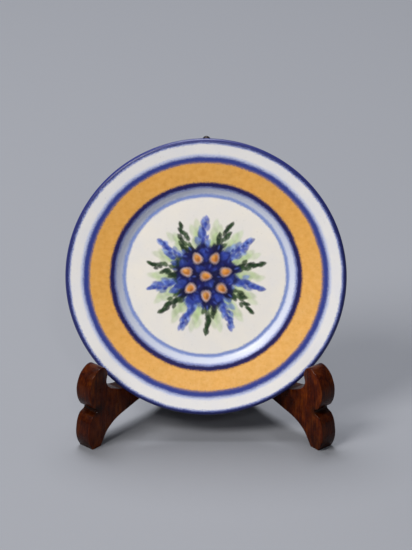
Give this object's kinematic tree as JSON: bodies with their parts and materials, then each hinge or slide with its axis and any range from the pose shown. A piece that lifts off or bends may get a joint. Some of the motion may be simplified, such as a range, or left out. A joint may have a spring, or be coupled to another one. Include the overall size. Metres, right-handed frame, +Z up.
{
  "type": "folding plate display stand",
  "caption": "Folding plate display stand: two carved wooden boards hinged in a V, holding a painted round plate on their ledges, doll's-house size.",
  "frame": {"origin": "on the table, under the middle of the whole object's bounding box, in the plane midway between the two boards", "axes": "+Z up along the hinge pin, +X to the right seen from the front, +Y to the back; the plate faces -Y"},
  "size_m": [0.0254, 0.0122, 0.0269],
  "materials": {
    "stained_wood": "red-brown mahogany stain under gloss varnish",
    "hinge_brass": "bare brass, lightly tarnished",
    "pin_steel": "blackened steel wire",
    "plate_glaze": "white glaze with a hand-painted band and bouquet"
  },
  "bodies": {
    "left_leg": {"left_leg_board": "stained_wood", "hinge_pin": "pin_steel", "lower_hinge_left_leaf": "hinge_brass", "lower_hinge_left_brad_1": "hinge_brass", "lower_hinge_left_brad_2": "hinge_brass", "upper_hinge_left_leaf": "hinge_brass", "upper_hinge_left_brad_1": "hinge_brass", "upper_hinge_left_brad_2": "hinge_brass"},
    "right_leg": {"right_leg_board": "stained_wood", "lower_hinge_right_leaf": "hinge_brass", "lower_hinge_right_brad_1": "hinge_brass", "lower_hinge_right_brad_2": "hinge_brass", "upper_hinge_right_leaf": "hinge_brass", "upper_hinge_right_brad_1": "hinge_brass", "upper_hinge_right_brad_2": "hinge_brass"},
    "plate": {"display_plate": "plate_glaze"}
  },
  "joints": [
    {"name": "plate_lift", "type": "slide", "parent": "left_leg", "child": "plate", "axis": [0, -0.342, 0.9397], "range_m": [0, 0.03]},
    {"name": "right_fold", "type": "hinge", "parent": "left_leg", "child": "right_leg", "pos_m": [0, 0.00573, 0.0127], "axis": [0, 0, -1], "range_deg": [0, 82]}
  ],
  "couplings": [
    {"joint": "right_fold", "follows": "plate_lift", "rad_per_m": 47.7}
  ]
}
